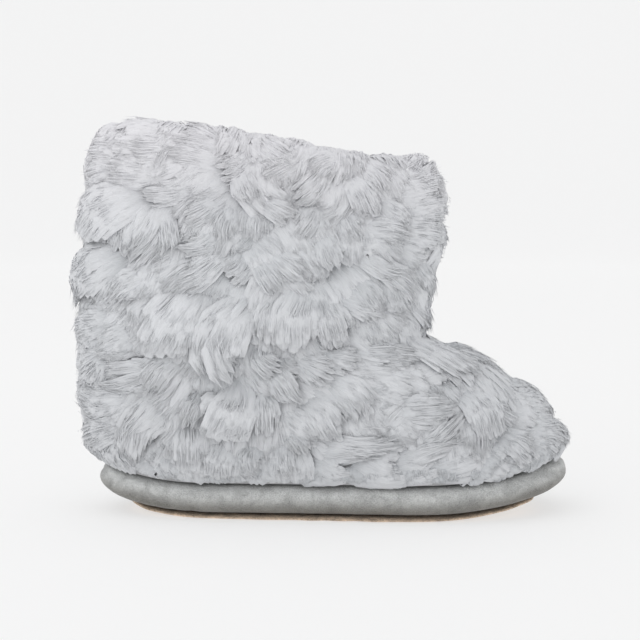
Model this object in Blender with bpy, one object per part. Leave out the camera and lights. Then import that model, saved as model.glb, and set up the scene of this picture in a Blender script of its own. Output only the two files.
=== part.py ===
"""Plush bootie slipper, a right shoe that stands on its sole.

Metres, +Z up, the toe towards +X and the wearer's right side towards -Y.
The origin is on the floor, under the middle of the sole.
"""

import math
import random

import bmesh
import bpy
import numpy as np

# Sole
SOLE_LENGTH = 0.255
BALL_WIDTH = 0.098
OUTSOLE_THICKNESS = 0.0028
MIDSOLE_THICKNESS = 0.0165
MIDSOLE_ROUND = 0.0070
OUTSOLE_INSET_SIDE = 0.0075
OUTSOLE_INSET_END = 0.0180
OUTSOLE_EDGE = 0.0008
TOE_SPRING = 0.0120
HEEL_RISE = 0.0085
FLAT_FROM = -0.072
FLAT_TO = 0.050
SEAT_GAP = 0.0003

# Insole
INSOLE_THICKNESS = 0.0040
INSOLE_ROUND = 0.0012
INSOLE_CLEARANCE = 0.0012

# Upper, measured on the outer face of its cloth, under the pile
UPPER_INSET = 0.0035
INSTEP_HEIGHT = 0.092
COLLAR_HEIGHT = 0.203
COLLAR_DIP = 0.020
COLLAR_CROWN = 0.005
SHAFT_DEPTH = 0.168
SHAFT_WIDTH = 0.090
HEEL_SWELL = 0.006
CLOTH_WALL = 0.0030

# Fur: the packed pile close to the cloth, and the locks that stand over it
PILE_DEPTH = 0.0060
LOCK_RISE = 0.0085
LOCK_DROP = 0.0090
LOCK_LEAN = 0.0050
LOCK_GROOVE = 0.0040
TUCK_DEPTH = 0.0035
TUCK_RISE = 0.0021
LOCK_SIZES = (0.72, 1.08)
LOCK_HANGS = (0.45, 1.10)
GAP_SHARE = 0.35
LOCKS_AROUND = 22
FUR_SEED = 5

# The fur is shorter and smoother on the vamp and toe: these are its shares there
TOE_DROP_SHARE = 0.45
TOE_RISE_SHARE = 0.80
TOE_TUCK_RISE = 0.0070
# The lowest row hardly hangs over the sole, and stands out less at the toe
LOW_ROW_DROP_SHARE = 0.25
LOW_ROW_HEEL_SHARE = 0.95
LOW_ROW_TOE_SHARE = 0.70
# and ends this share of its height above the sole's seam
LOWEST_LIP_SHARE = 0.006

# The furry facing inside the collar
FACING_DEPTH = 0.0085
FACING_REACH = 0.036

# How finely curved faces are cut
COLUMNS_PER_LOCK = 4
COLUMNS = LOCKS_AROUND * COLUMNS_PER_LOCK
SOLE_COLUMNS = 56
OUTLINE_SAMPLES = 181

# Colours
FUR_GREY = (0.60, 0.62, 0.64, 1.0)
SUEDE_GREY = (0.37, 0.385, 0.385, 1.0)
OUTSOLE_TAN = (0.26, 0.19, 0.135, 1.0)
INSOLE_GREY = (0.42, 0.43, 0.44, 1.0)

HEEL_X = -SOLE_LENGTH / 2
TOE_X = SOLE_LENGTH / 2
SHAFT_FRONT_X = HEEL_X + UPPER_INSET + SHAFT_DEPTH

# The foot's outline: half widths as shares of half the ball's width, by the share of
# the length from heel to toe. A power of the sine rounds both ends: the lower, the blunter.
# share, outer side, inner side
FOOT_OUTLINE = (
    (0.00, 0.84, 0.84),
    (0.15, 0.92, 0.92),
    (0.35, 0.90, 0.85),
    (0.50, 0.94, 0.84),
    (0.70, 1.07, 1.04),
    (0.85, 1.08, 1.14),
    (1.00, 1.02, 1.16),
)
END_ROUND_FOOT = 0.64
END_ROUND_SHAFT = 0.86

# The upper's rings, one at each seam between two rows of fur, from the sole up.
# Levels run from 0 at the sole to 1 at the instep and 2 at the rim. Reach is 1 at the
# toe and 0 at the shaft's front. Swell is a share of HEEL_SWELL behind the heel. Foot is
# the share of the foot's outline, the rest being the shaft's oval, and full scales both.
# back level, front level, reach, swell, foot, full
UPPER_RINGS = (
    (0.00, 0.00, 1.00, 0.0, 1.00, 1.00),
    (0.42, 0.28, 0.87, 0.7, 0.92, 0.97),
    (0.70, 0.62, 0.58, 1.0, 0.64, 0.94),
    (0.98, 1.00, -0.03, 1.0, 0.18, 0.94),
    (1.25, 1.22, -0.02, 0.8, 0.00, 0.94),
    (1.51, 1.48, 0.04, 0.6, 0.00, 0.97),
    (1.77, 1.75, 0.09, 0.2, 0.00, 1.00),
    (2.00, 2.00, 0.07, -0.5, 0.00, 1.01),
)
TOP_SEAM = len(UPPER_RINGS) - 1
LINING_SEAMS = (5.2, 4.3, 3.5, 2.95, 2.5, 2.0, 1.2, 0.5)

# One row of fur in profile, from its root to its lip. Down is the share of the row, rise
# the share of LOCK_RISE, and lobe how far the gaps between locks are cut in.
# down, rise, lobe
LOCK_PROFILE = (
    (0.16, 0.20, 0.15),
    (0.44, 0.62, 0.60),
    (0.74, 0.95, 0.90),
)
LIP_SHARE = 0.80
# The lock across its columns: 0 in the gap between two locks and 1 on its crest
LOCK_ACROSS = (0.0, 0.78, 1.0, 0.78)

# The collar's rim, turned from outside to inside, and the facing down from it
RIM_OUTER_REACH = 0.0120
RIM_TOP = 0.0075
RIM_DEGREES = (25, 60, 90, 125, 160)
# share of FACING_REACH, share of FACING_DEPTH
FACING_PROFILE = ((0.45, 0.95), (0.85, 1.05), (1.00, 0.80))

# The midsole's side, turned from its underside to its top
MIDSOLE_DEGREES = (-90, -62, -34, -8, 18, 46, 72, 90)
# How far up the lowest row of fur the insole's edge meets the lining
INSOLE_ROW_SHARE = 0.25


def tangents_of(places, values):
    """The slope at each place of a curve through the values that doesn't overshoot."""
    gaps = np.diff(places).reshape(-1, *[1] * (values.ndim - 1))
    slopes = np.diff(values, axis=0) / gaps
    same_way = slopes[:-1] * slopes[1:] > 0
    sums = np.where(same_way, slopes[:-1] + slopes[1:], 1.0)
    inner = np.where(same_way, 2 * slopes[:-1] * slopes[1:] / sums, 0.0)
    return np.concatenate([slopes[:1], inner, slopes[-1:]])


def curve(s, gap, start, leave, end, arrive):
    """A cubic over one gap, with s from 0 to 1, and the slopes that it leaves and arrives at."""
    return (
        start * (2 * s**3 - 3 * s**2 + 1)
        + gap * leave * (s**3 - 2 * s**2 + s)
        + end * (3 * s**2 - 2 * s**3)
        + gap * arrive * (s**3 - s**2)
    )


def smooth_between(places, values, at):
    """The values at the places, joined by a curve with no overshoot."""
    tangents = tangents_of(places, values)
    k = np.clip(np.searchsorted(places, at, side="right") - 1, 0, len(places) - 2)
    gap = places[k + 1] - places[k]
    s = (at - places[k]) / gap
    return curve(s, gap, values[k], tangents[k], values[k + 1], tangents[k + 1])


def spring(x):
    """How far the sole's underside lifts off the floor at x."""
    x = np.asarray(x, float)
    toe = np.clip((x - FLAT_TO) / (TOE_X - FLAT_TO), 0, 1.2)
    heel = np.clip((FLAT_FROM - x) / (FLAT_FROM - HEEL_X), 0, 1.2)
    return TOE_SPRING * toe**2 + HEEL_RISE * heel**2


def midsole_bottom(x):
    return spring(x) + OUTSOLE_THICKNESS + SEAT_GAP


def midsole_top(x):
    return midsole_bottom(x) + MIDSOLE_THICKNESS


def outline(back_x, front_x, foot, full, columns, inset_side=0.0, inset_end=0.0):
    """A closed ring in plan, evenly spaced, from the heel round the outer side and back.

    foot is the share of the foot's outline, and full scales the ring's width.
    """
    table = np.array(FOOT_OUTLINE)
    turn = np.linspace(0, math.pi, OUTLINE_SAMPLES)
    share = (1 - np.cos(turn)) / 2
    back = back_x + inset_end
    front = front_x - inset_end
    x = back + (front - back) * share
    foot_round = np.sin(turn) ** END_ROUND_FOOT
    shaft_round = np.sin(turn) ** END_ROUND_SHAFT
    halves = []
    for side, column in ((-1, 1), (1, 2)):
        foot_half = BALL_WIDTH / 2 * smooth_between(table[:, 0], table[:, column], share)
        half = full * (
            foot * foot_half * foot_round + (1 - foot) * SHAFT_WIDTH / 2 * shaft_round
        )
        widest = half.max()
        y = side * half * (widest - inset_side) / widest
        along = np.concatenate([[0], np.cumsum(np.hypot(np.diff(x), np.diff(y)))])
        wanted = np.linspace(0, along[-1], columns // 2 + 1)
        halves.append((np.interp(wanted, along, x), np.interp(wanted, along, y)))
    (outer_x, outer_y), (inner_x, inner_y) = halves
    ring_x = np.concatenate([outer_x, inner_x[-2:0:-1]])
    ring_y = np.concatenate([outer_y, inner_y[-2:0:-1]])
    return ring_x, ring_y


def level_height(level, rim):
    """The height of a level: 0 at the sole, 1 at the instep and 2 at the rim."""
    sole = float(midsole_top(0.0)) + SEAT_GAP
    return float(np.interp(level, (0, 1, 2), (sole, INSTEP_HEIGHT, rim)))


def crown(share):
    """The collar's hump, 1 at a third of the way from back to front and 0 at both ends."""
    return 6.75 * share * (1 - share) ** 2


def cloth_rings():
    """The rings of UPPER_RINGS as points, one (COLUMNS, 3) array for each."""
    rings = []
    for back_level, front_level, reach, swell, foot, full in UPPER_RINGS:
        back_x = HEEL_X + UPPER_INSET - swell * HEEL_SWELL
        front_x = SHAFT_FRONT_X + reach * (TOE_X - UPPER_INSET - SHAFT_FRONT_X)
        x, y = outline(
            back_x, front_x, foot, full, COLUMNS, inset_side=UPPER_INSET * foot
        )
        low = level_height(back_level, COLLAR_HEIGHT)
        high = level_height(front_level, COLLAR_HEIGHT - COLLAR_DIP)
        share = (x - back_x) / (front_x - back_x)
        z = low + (high - low) * share
        z += spring(x) * max(0.0, 1 - front_level)
        z += COLLAR_CROWN * crown(share) * max(0.0, back_level - 1)
        rings.append(np.stack([x, y, z], axis=1))
    return np.array(rings)


RINGS = cloth_rings()
RING_TANGENTS = tangents_of(np.arange(TOP_SEAM + 1.0), RINGS)


def cloth(seam):
    """The cloth's outer face, at one place between the seams for each column."""
    seam = np.clip(np.broadcast_to(seam, COLUMNS), 0, TOP_SEAM)
    k = np.minimum(seam.astype(int), TOP_SEAM - 1)
    s = (seam - k)[:, None]
    each = np.arange(COLUMNS)
    start, leave = RINGS[k, each], RING_TANGENTS[k, each]
    end, arrive = RINGS[k + 1, each], RING_TANGENTS[k + 1, each]
    return curve(s, 1.0, start, leave, end, arrive)


def outward(seam):
    """The cloth's unit normals at those places, pointing away from the foot."""
    step = 0.04
    low = np.clip(np.asarray(seam, float) - step, 0, TOP_SEAM)
    high = np.clip(np.asarray(seam, float) + step, 0, TOP_SEAM)
    up = cloth(high) - cloth(low)
    middle = cloth(seam)
    around = np.roll(middle, -1, axis=0) - np.roll(middle, 1, axis=0)
    normals = np.cross(around, up)
    return normals / np.linalg.norm(normals, axis=1)[:, None]


def row_height(row):
    """The cloth's length from one seam to the next, for each column."""
    return np.linalg.norm(cloth(row + 1) - cloth(row), axis=1)


def lock_row(row, draws):
    """How each column of a row lies in its lock: height of lobe, drop and lean."""
    lobe = np.empty(COLUMNS)
    drop = np.empty(COLUMNS)
    lean = np.empty(COLUMNS)
    stagger = (row % 2) * COLUMNS_PER_LOCK // 2
    for lock in range(LOCKS_AROUND):
        size = draws.uniform(*LOCK_SIZES)
        hang = draws.uniform(*LOCK_HANGS)
        slant = draws.uniform(-1, 1)
        for place, across in enumerate(LOCK_ACROSS):
            column = (lock * COLUMNS_PER_LOCK + place + stagger) % COLUMNS
            lobe[column] = across * size
            drop[column] = across * hang
            lean[column] = across * slant
    return lobe, drop, lean


def fur_ring(seam, rise, lean=None):
    """A ring that stands off the cloth by rise, its points slid sideways by lean."""
    middle = cloth(seam)
    points = middle + outward(seam) * np.broadcast_to(rise, (COLUMNS,))[:, None]
    if lean is not None:
        around = np.roll(middle, -1, axis=0) - np.roll(middle, 1, axis=0)
        around /= np.linalg.norm(around, axis=1)[:, None]
        points += around * lean[:, None]
    return points


def towards_toe(seam):
    """How far each column of a ring lies along the vamp: 0 on the shaft, 1 at the toe."""
    x = cloth(seam)[:, 0]
    share = np.clip((x - SHAFT_FRONT_X) / (TOE_X - SHAFT_FRONT_X), 0, 1)
    return share**2 * (3 - 2 * share)


def fur_rows():
    """The fur's outer rings from the sole up: each row's tuck, lip, locks and root."""
    draws = random.Random(FUR_SEED)
    rings = []
    for row in range(TOP_SEAM):
        lobe, drop, lean = lock_row(row, draws)
        height = row_height(row)
        toe = towards_toe(float(row))
        heel_share = np.clip((TOE_X - cloth(float(row))[:, 0]) / SOLE_LENGTH, 0, 1)
        lowest = LOW_ROW_TOE_SHARE + (LOW_ROW_HEEL_SHARE - LOW_ROW_TOE_SHARE) * heel_share
        at_lip = lowest if row == 0 else np.ones(COLUMNS)
        fall = LOCK_DROP * drop / height * (1 - (1 - TOE_DROP_SHARE) * toe)
        if row == 0:
            fall = fall * LOW_ROW_DROP_SHARE
        rise_here = LOCK_RISE * (1 - (1 - TOE_RISE_SHARE) * toe)
        tuck = TUCK_RISE + (TOE_TUCK_RISE - TUCK_RISE) * toe * (row > 0)
        rings.append(fur_ring(row + TUCK_DEPTH / height, tuck))
        lip = PILE_DEPTH + rise_here * LIP_SHARE * (GAP_SHARE + (1 - GAP_SHARE) * lobe)
        lip_seam = np.maximum(row - fall, LOWEST_LIP_SHARE)
        rings.append(fur_ring(lip_seam, lip * at_lip, LOCK_LEAN * lean))
        for down, rise, groove in reversed(LOCK_PROFILE):
            stands = PILE_DEPTH + rise_here * rise - LOCK_GROOVE * groove * (1 - lobe)
            share = at_lip * down + (1 - down)
            rings.append(fur_ring(row + 1 - down, stands * share, LOCK_LEAN * lean * down))
    return rings


def rim_rings():
    """The rings over the collar's rim and down its furry facing to the lining."""
    draws = random.Random(FUR_SEED + 1)
    lobe, drop, lean = lock_row(0, draws)
    up = np.array([0.0, 0.0, 1.0])
    away = outward(TOP_SEAM)
    level = away - away[:, 2:] * up
    level /= np.linalg.norm(level, axis=1)[:, None]
    middle = cloth(TOP_SEAM) - level * CLOTH_WALL / 2
    top = RIM_TOP + LOCK_RISE * GAP_SHARE * lobe
    rings = []
    for degrees in RIM_DEGREES:
        angle = math.radians(degrees)
        reach = RIM_OUTER_REACH if degrees <= 90 else CLOTH_WALL / 2 + FACING_DEPTH
        across = level * math.cos(angle) * reach
        rings.append(middle + across + up * (math.sin(angle) * top)[:, None])
    height = row_height(TOP_SEAM - 1)
    for share, thickness in FACING_PROFILE:
        hang = FACING_REACH * share + LOCK_DROP * drop * max(0.0, share - 0.5)
        thick = FACING_DEPTH * (thickness - GAP_SHARE * share * (1 - lobe))
        seam = TOP_SEAM - hang / height
        rings.append(fur_ring(seam, -CLOTH_WALL - thick, LOCK_LEAN * lean * share))
    rings.append(fur_ring(TOP_SEAM - FACING_REACH / height, -CLOTH_WALL))
    return rings


def lining_rings():
    """The upper's inner face from under the facing down to the sole."""
    return [fur_ring(seam, -CLOTH_WALL) for seam in LINING_SEAMS]


def seat_on_midsole(points):
    """Those points set down on the midsole's top, with the seat's gap."""
    seated = points.copy()
    seated[:, 2] = midsole_top(points[:, 0]) + SEAT_GAP
    return seated


def loft(name, rings, material, cap=False):
    """A solid through rings of as many points each. Without caps it closes on itself."""
    mesh = bmesh.new()
    loops = [[mesh.verts.new(point) for point in ring] for ring in rings]
    count = len(loops[0])
    pairs = list(zip(loops, loops[1:]))
    if not cap:
        pairs.append((loops[-1], loops[0]))
    for low, high in pairs:
        for i in range(count):
            j = (i + 1) % count
            mesh.faces.new((low[i], low[j], high[j], high[i]))
    if cap:
        close_end(mesh, loops[0])
        close_end(mesh, loops[-1])
    bmesh.ops.recalc_face_normals(mesh, faces=mesh.faces)
    data = bpy.data.meshes.new(name)
    mesh.to_mesh(data)
    mesh.free()
    if volume_of(data) < 0:
        data.flip_normals()
    data.shade_smooth()
    data.materials.append(material)
    part = bpy.data.objects.new(name, data)
    PARTS.objects.link(part)
    return part


def close_end(mesh, loop):
    """Closes a ring with strips across it, from the outer side to the inner side."""
    count = len(loop)
    half = count // 2
    mesh.faces.new((loop[0], loop[1], loop[count - 1]))
    for i in range(1, half - 1):
        mesh.faces.new((loop[i], loop[i + 1], loop[count - i - 1], loop[count - i]))
    mesh.faces.new((loop[half - 1], loop[half], loop[half + 1]))


def volume_of(data):
    data.calc_loop_triangles()
    corners = np.array([v.co[:] for v in data.vertices])
    faces = np.array([t.vertices[:] for t in data.loop_triangles])
    a, b, c = (corners[faces[:, k]] for k in range(3))
    return float(np.einsum("ij,ij->i", a, np.cross(b, c)).sum() / 6)


def finish_of(name, colour, roughness):
    material = bpy.data.materials.new(name)
    material.use_nodes = True
    shader = material.node_tree.nodes["Principled BSDF"]
    shader.inputs["Base Color"].default_value = colour
    shader.inputs["Roughness"].default_value = roughness
    shader.inputs["Metallic"].default_value = 0.0
    return material


def sole_ring(inset_side, inset_end, height):
    """A ring of the sole's outline, inset, at a height function of x."""
    x, y = outline(
        HEEL_X, TOE_X, 1.0, 1.0, SOLE_COLUMNS, inset_side=inset_side, inset_end=inset_end
    )
    return np.stack([x, y, height(x)], axis=1)


def build_outsole():
    """The thin tan tread, inset from the platform so that its cloth turns under."""

    def ring(inset, above):
        return sole_ring(
            OUTSOLE_INSET_SIDE + inset, OUTSOLE_INSET_END + inset, lambda x: spring(x) + above
        )

    rings = [
        ring(OUTSOLE_EDGE, 0.0),
        ring(0.0, OUTSOLE_EDGE),
        ring(0.0, OUTSOLE_THICKNESS),
    ]
    return loft("outsole", rings, finish_of("tan_suede", OUTSOLE_TAN, 0.9), cap=True)


def build_midsole():
    """The foam platform in its suede wrap, with a side that bulges like a cushion."""
    rings = []
    for degrees in MIDSOLE_DEGREES:
        angle = math.radians(degrees)
        inset = MIDSOLE_ROUND * (1 - math.cos(angle))
        share = (1 + math.sin(angle)) / 2
        rings.append(
            sole_ring(
                inset, inset, lambda x, s=share: midsole_bottom(x) + s * MIDSOLE_THICKNESS
            )
        )
    return loft("midsole", rings, finish_of("grey_suede", SUEDE_GREY, 0.85), cap=True)


def build_insole():
    """The footbed, cut to the inside of the upper where it meets the sole."""
    edge = fur_ring(INSOLE_ROW_SHARE, -CLOTH_WALL - INSOLE_CLEARANCE)[::2]
    rings = []
    for inset, above in (
        (INSOLE_ROUND, 0.0),
        (0.0, INSOLE_ROUND),
        (0.0, INSOLE_THICKNESS - INSOLE_ROUND),
        (INSOLE_ROUND, INSOLE_THICKNESS),
    ):
        ring = edge.copy()
        length = np.linalg.norm(ring[:, :2], axis=1)
        ring[:, :2] *= (1 - inset / length)[:, None]
        ring = seat_on_midsole(ring)
        ring[:, 2] += above
        rings.append(ring)
    return loft("insole", rings, finish_of("grey_fleece", INSOLE_GREY, 0.95), cap=True)


def build_upper():
    """The fur boot: one hollow wall, open at the collar and over the sole."""
    outside = fur_rows()
    outside[0] = seat_on_midsole(fur_ring(0.0, 0.0))
    inside = lining_rings()
    inside.append(seat_on_midsole(fur_ring(0.0, -CLOTH_WALL)))
    rings = outside + rim_rings() + inside
    return loft("upper", rings, finish_of("grey_fur", FUR_GREY, 0.95))


for old in list(bpy.data.objects):
    bpy.data.objects.remove(old)

PARTS = bpy.data.collections.new("bootie_slipper")
bpy.context.scene.collection.children.link(PARTS)

build_outsole()
build_midsole()
build_insole()
build_upper()
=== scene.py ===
"""A plush bootie slipper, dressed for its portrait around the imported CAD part.

Metres, +Z up, the toe towards +X and the outer side of this right shoe towards -Y.
"""

import math

import bmesh
import bpy
import numpy as np
from bpy.props import FloatProperty, FloatVectorProperty, IntProperty, PointerProperty
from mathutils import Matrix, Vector


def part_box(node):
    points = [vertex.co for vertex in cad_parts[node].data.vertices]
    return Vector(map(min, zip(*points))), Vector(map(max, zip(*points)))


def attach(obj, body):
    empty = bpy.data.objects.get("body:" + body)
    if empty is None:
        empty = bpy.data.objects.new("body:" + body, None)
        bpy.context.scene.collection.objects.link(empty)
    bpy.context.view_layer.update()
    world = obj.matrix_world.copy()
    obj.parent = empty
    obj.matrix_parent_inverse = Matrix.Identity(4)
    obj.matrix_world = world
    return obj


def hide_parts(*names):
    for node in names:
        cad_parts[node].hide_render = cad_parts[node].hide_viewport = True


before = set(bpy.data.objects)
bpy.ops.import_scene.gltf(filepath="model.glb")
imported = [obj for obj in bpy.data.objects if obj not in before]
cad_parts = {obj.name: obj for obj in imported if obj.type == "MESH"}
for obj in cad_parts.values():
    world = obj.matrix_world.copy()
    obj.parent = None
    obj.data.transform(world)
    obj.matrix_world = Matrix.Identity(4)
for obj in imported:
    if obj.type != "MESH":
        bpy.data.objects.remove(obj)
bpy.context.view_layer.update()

bl_info = {
    "name": "Plush Bootie Slipper",
    "version": (1, 0, 0),
    "blender": (4, 5, 0),
    "location": "View3D > Sidebar > Slipper",
    "description": "Dresses a bootie slipper with fur, suede, lining and a stage",
    "category": "Add Mesh",
}

MIDSOLE_LOW, MIDSOLE_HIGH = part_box("midsole")
OUTSOLE_THICKNESS = 0.0028
WRAP_HEIGHT = 0.0165

# The shoe's own shape, as the part's source has it. Levels run from 0 at the sole to 1 at
# the instep and 2 at the rim. Reach is 1 at the toe and 0 at the shaft's front.
# share of the length from heel to toe, outer side, inner side
FOOT_OUTLINE = (
    (0.00, 0.84, 0.84),
    (0.15, 0.92, 0.92),
    (0.35, 0.90, 0.85),
    (0.50, 0.94, 0.84),
    (0.70, 1.07, 1.04),
    (0.85, 1.08, 1.14),
    (1.00, 1.02, 1.16),
)
END_ROUND_FOOT = 0.64
END_ROUND_SHAFT = 0.86
# back level, front level, reach, swell, foot, full
UPPER_RINGS = (
    (0.00, 0.00, 1.00, 0.0, 1.00, 1.00),
    (0.42, 0.28, 0.87, 0.7, 0.92, 0.97),
    (0.70, 0.62, 0.58, 1.0, 0.64, 0.94),
    (0.98, 1.00, -0.03, 1.0, 0.18, 0.94),
    (1.25, 1.22, -0.02, 0.8, 0.00, 0.94),
    (1.51, 1.48, 0.04, 0.6, 0.00, 0.97),
    (1.77, 1.75, 0.09, 0.2, 0.00, 1.00),
    (2.00, 2.00, 0.07, -0.5, 0.00, 1.01),
)
TOP_SEAM = len(UPPER_RINGS) - 1
COLUMNS = 240
RINGS_PER_SEAM = 12
RIM_RINGS = 12
FACING_RINGS = 14
APRON_RINGS = 5
APRON_BULGE = 0.0045
APRON_DROP = 0.012

# How a lock is combed: steps along its spine, and for its long strands and the short hairs
# of its tips the places along each, and the earliest and latest share where they start
SPINE_STEPS = 10
LONG_STRAND = ((0.0, 0.48, 1.0), 0.05, 0.50)
TIP_HAIR = ((0.0, 1.0), 0.50, 0.72)

# A tuft: how far along it its rings and its tip are, and the rings' widths. Round each ring
# the angle and how far it reaches sideways and up: a rounded top over a deep narrow keel.
TUFT_STATIONS = np.array([0.0, 0.30, 0.62, 0.90, 1.0])
TUFT_WIDTHS = np.array([0.90, 1.12, 1.15, 0.95])
TUFT_SECTION = ((0, 1.0, 1.0), (90, 1.0, 1.0), (180, 1.0, 1.0), (270, 1.7, 2.38))
# How much wider a tuft is than its share of the lock, how far its tip dips, how high strands
# lie over it, how many of them stray, and how far all shading is turned to the lock's
TUFT_OVERLAP = 2.3
TIP_DIP = 0.0012
STRAND_CROWN = 0.0010
STRAY_SHARE = 0.07
SHADED_AS_LOCK = 0.5

# How each batch is divided: tufts in a lock, then long strands and tip hairs in a tuft
BATCHES = {
    "outer_locks": (13, 6, 8),
    "inner_locks": (12, 3, 6),
    "outer_foot": (14, 4, 7),
    "inner_foot": (10, 3, 6),
    "outer_shaft": (14, 5, 7),
    "inner_shaft": (10, 3, 6),
    "rim": (11, 4, 5),
    "facing": (9, 3, 4),
}

# The hem over the sole, in rows of the skin: its height, its wave, how far a tuft may hang
# past it and how softly it stops. A level lock of that width stays one row higher.
HEM_ROW = 0.8
HEM_WAVE = 0.45
HEM_SLACK = 0.9
HEM_SOFTNESS = 1.8
LEVEL_WIDTH = 0.021

# A wide lock is lifted more and is less ragged
WIDE_LOCK = 0.018
# How far all listed main locks are moved forward and up, and their copies on the inner side
# once more. There a draw of this spread moves each lock too, and another one its tip.
OUTER_SHIFT = (0.0, 0.004)
INNER_SHIFT = (0.005, -0.010)
LOCK_SPREAD = 0.007
TIP_SPREAD = 0.004

# The bounds between which each kind of small lock is drawn. Filler locks have their length
# as a share of their row's height, and their width as a share of their spacing.
# length, width, lift, fall, fan
SMALL_BOUNDS = {
    "filler": ((0.9, 1.15), (1.3, 1.7), (0.28, 0.55), (0.1, 0.4), (0.1, 0.4)),
    "hem": ((0.011, 0.018), (0.014, 0.021), (0.25, 0.50), (0.1, 0.4), (0.1, 0.3)),
    "gap": ((0.020, 0.028), (0.016, 0.024), (0.25, 0.45), (0.1, 0.4), (0.0, 0.2)),
    "rim": ((0.020, 0.030), (0.015, 0.021), (0.30, 0.48), (0.1, 0.4), (0.1, 0.35)),
    "facing": ((0.018, 0.026), (0.014, 0.020), (0.85, 1.2), (0.0, 0.2), (0.1, 0.4)),
}
# The spread of its turn and its sway, its root's height and how ragged its tip is
# turn, sway, root, ragged
SMALL_SHAPES = {
    "filler": (0.24, 1.6, 0.0006, 0.30),
    "hem": (0.4, 1.0, 0.0008, 0.25),
    "gap": (0.3, 1.4, 0.0006, 0.30),
    "rim": (0.2, 1.6, 0.0008, 0.30),
    "facing": (0.12, 1.6, 0.001, 0.30),
}
SMALL_PLUMP = 0.32
SHORTEST_FILLER = 0.016
HEM_SPACING = 0.011
GAP_REACH = 0.0060
GAP_SPACING = 0.011
GAP_ROOT = 0.009
RIM_LOCKS = 88
FACING_LOCKS = 38
# How many rows of the skin past its rim the rim's locks have their roots, in turn
RIM_ROWS = (6.5, 10.5)
# The same for each ring of the facing's locks, and how high these stand
FACING_ROWS = ((9.5, 0.0040), (13.0, 0.010), (17.0, 0.017), (21.5, 0.017))

# How the small locks follow the main ones: how near a main lock counts most, how far off it
# gives way to straight down, and how wide the strip is in front and behind that falls so
GUIDE_CORE = 0.006
GUIDE_REACH = 0.035
MIDDLE_STRIP = 0.018

# The heights between which the fur's painted shade low on the shoe fades out, and it turns from
# grey to the collar's
LOW_SHADE_HEIGHTS = (0.03, 0.13)
BLUSH_HEIGHTS = (0.150, 0.205)

# The shares of the wrap's height over which its painted shade low down fades out, and its painted
# seam shadow comes in
WRAP_SHADE_SHARES = (0.14, 0.78)
SEAM_SHADOW_SHARES = (0.90, 1.0)

# How far the wrap's shape reaches in from its side, and how deep each part of it is
SIDE_REACH = 0.014
PUFF = 0.0026
GROOVE = 0.0016
SWELL = 0.0008
LUMP = 0.0004
PUCKER = 0.0005
FOLD_FULLNESS = 1.8

# The tread: how much wider it is than its solid, and how uneven its edge
TREAD_SPREAD = (1.02, 1.14, 1.0)
TREAD_WOBBLE = 0.0006

# The seams at which the rows of the cloth's inner face and of the lining are laid, and how
# much further in than that face the lining's own two faces are
INNER_SEAMS = (5.2, 4.3, 3.5, 2.95, 2.5, 2.0, 1.5, 1.0, 0.5, 0.0)
LINING_SEAMS = np.linspace(5.9, 0.15, 18)
LINING_INNER = 0.0012
LINING_OUTER = -0.0005

# patch size, grain size, contrast, bump strength, bump depth, sheen
NAPS = {
    "slipper_lining": (80.0, 2200.0, 0.5, 0.5, 0.0004, 0.5),
    "slipper_suede": (130.0, 1500.0, 0.95, 0.7, 0.0009, 0.3),
    "slipper_tread": (170.0, 1300.0, 1.6, 0.5, 0.0008, 0.1),
    "slipper_fleece": (150.0, 1200.0, 0.5, 0.5, 0.001, 0.4),
}

# place, width and power of each light, and the floor's own light near the shoe and far off
LIGHTS = {
    "key": ((-1.1, -1.5, 1.5), 1.8, 5.9),
    "fill": ((1.3, -1.5, 0.8), 1.6, 0.35),
    "top": ((-0.3, 0.0, 1.9), 2.0, 6.6),
}
FLOOR_GLOW = ((0.57, 0.57, 0.57), (0.60, 0.60, 0.60))
FLOOR_REACH = (0.4, 3.2)
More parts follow.
